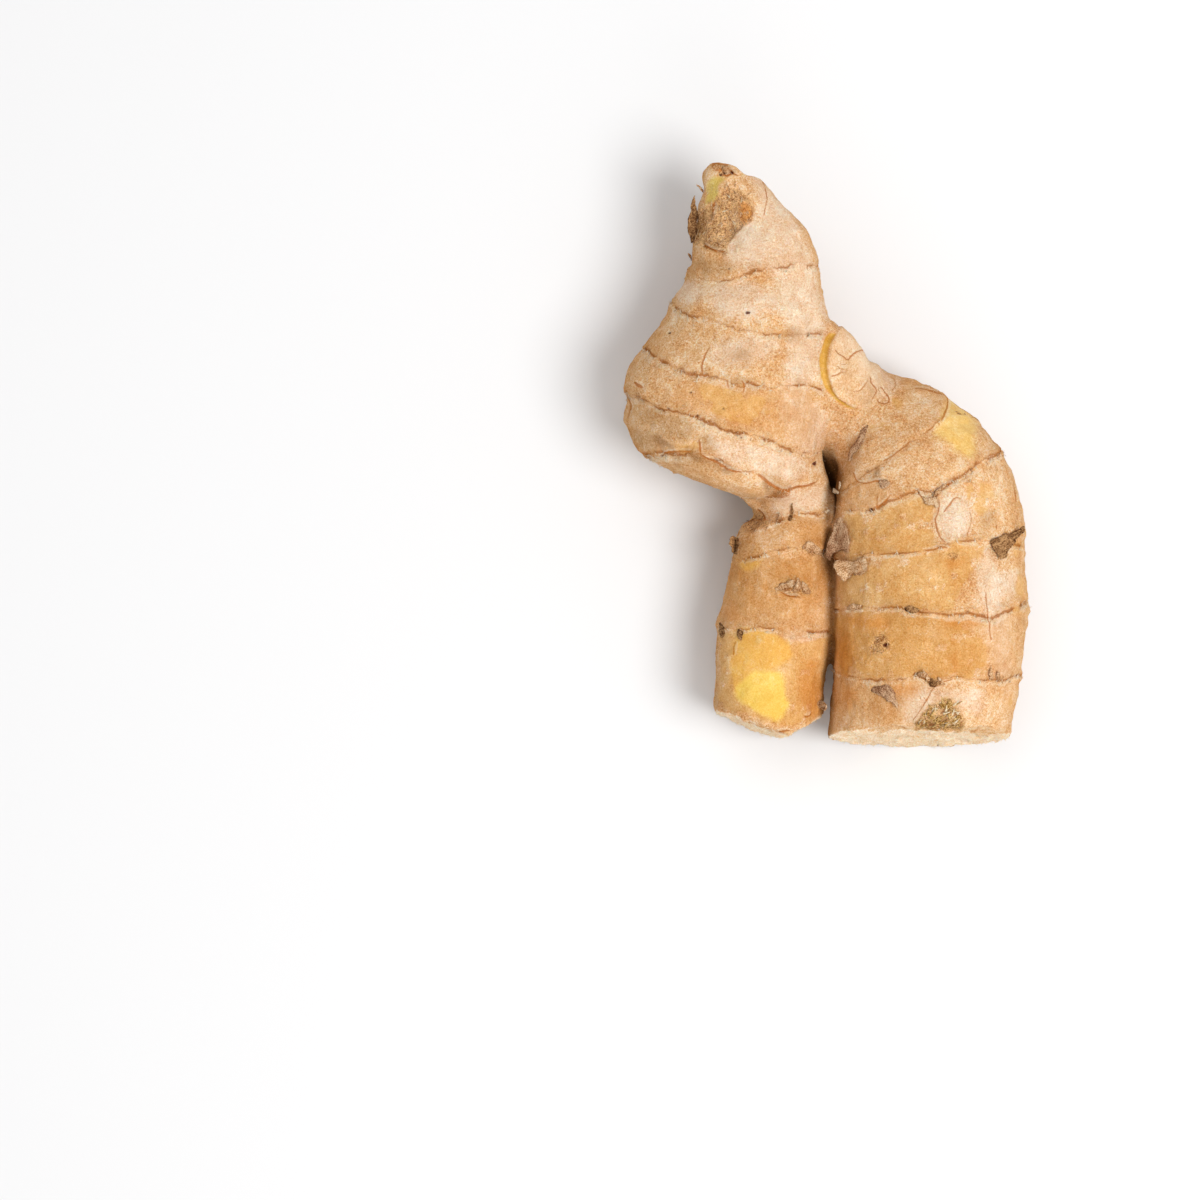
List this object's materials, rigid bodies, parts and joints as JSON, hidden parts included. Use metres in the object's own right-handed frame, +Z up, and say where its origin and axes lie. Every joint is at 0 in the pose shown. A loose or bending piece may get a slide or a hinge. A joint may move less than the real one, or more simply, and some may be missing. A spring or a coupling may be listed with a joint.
{
  "type": "ginger root",
  "caption": "Knobbly fresh ginger rhizome: a ringed head lobe with a torn tip, a sliced scar on its shoulder, and a thick bent finger beside a thin straight one.",
  "frame": {"origin": "on the surface the root lies on, under the middle of its outline", "axes": "+Z up from the surface, +Y towards the torn tip of the head lobe, +X towards the thick finger"},
  "size_m": [0.0818, 0.1173, 0.0351],
  "materials": {
    "skin": "thin papery skin over damp flesh, matt with a faint sheen where it is rubbed off",
    "dry_scale": "dry brittle leaf scale, matt",
    "fibre": "pale woody fibre, matt"
  },
  "bodies": {
    "root": {"rhizome": "skin"}
  },
  "joints": []
}
